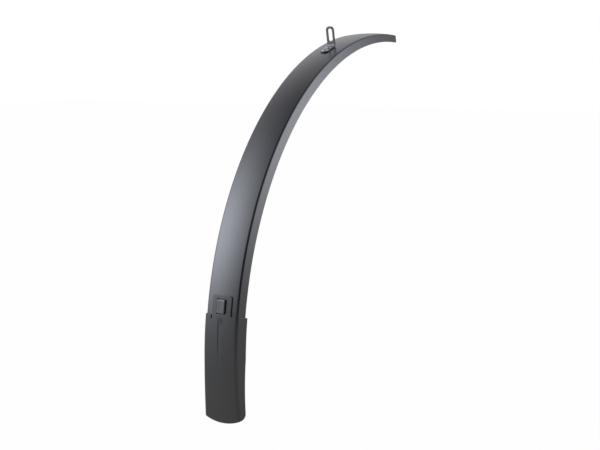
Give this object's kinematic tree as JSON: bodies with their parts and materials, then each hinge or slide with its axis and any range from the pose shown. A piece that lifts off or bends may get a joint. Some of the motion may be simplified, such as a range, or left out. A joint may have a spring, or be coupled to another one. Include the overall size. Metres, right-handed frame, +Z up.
{
  "type": "bicycle mudguard",
  "caption": "Front-wheel bicycle mudguard: a curved channel blade with a slotted fork bracket on its crown and a moulded mud flap on its lower end.",
  "frame": {"origin": "centre of the fork bracket's slot, half way through its tab", "axes": "+X forwards on the bicycle, +Y to the rider's left, +Z up; the wheel axle would be at (0.104, 0, -0.359)"},
  "size_m": [0.4018, 0.0522, 0.4221],
  "materials": {
    "blade_paint": "satin black",
    "bracket_paint": "satin black",
    "rivet_metal": "dark satin",
    "flap_plastic": "fine grained black",
    "block_plastic": "smooth black",
    "screw_metal": "zinc plated"
  },
  "bodies": {
    "root": {"blade": "blade_paint", "fork_bracket": "bracket_paint", "bracket_rivets": "rivet_metal", "mud_flap": "flap_plastic", "stay_block": "block_plastic", "stay_screw": "screw_metal"}
  },
  "joints": []
}
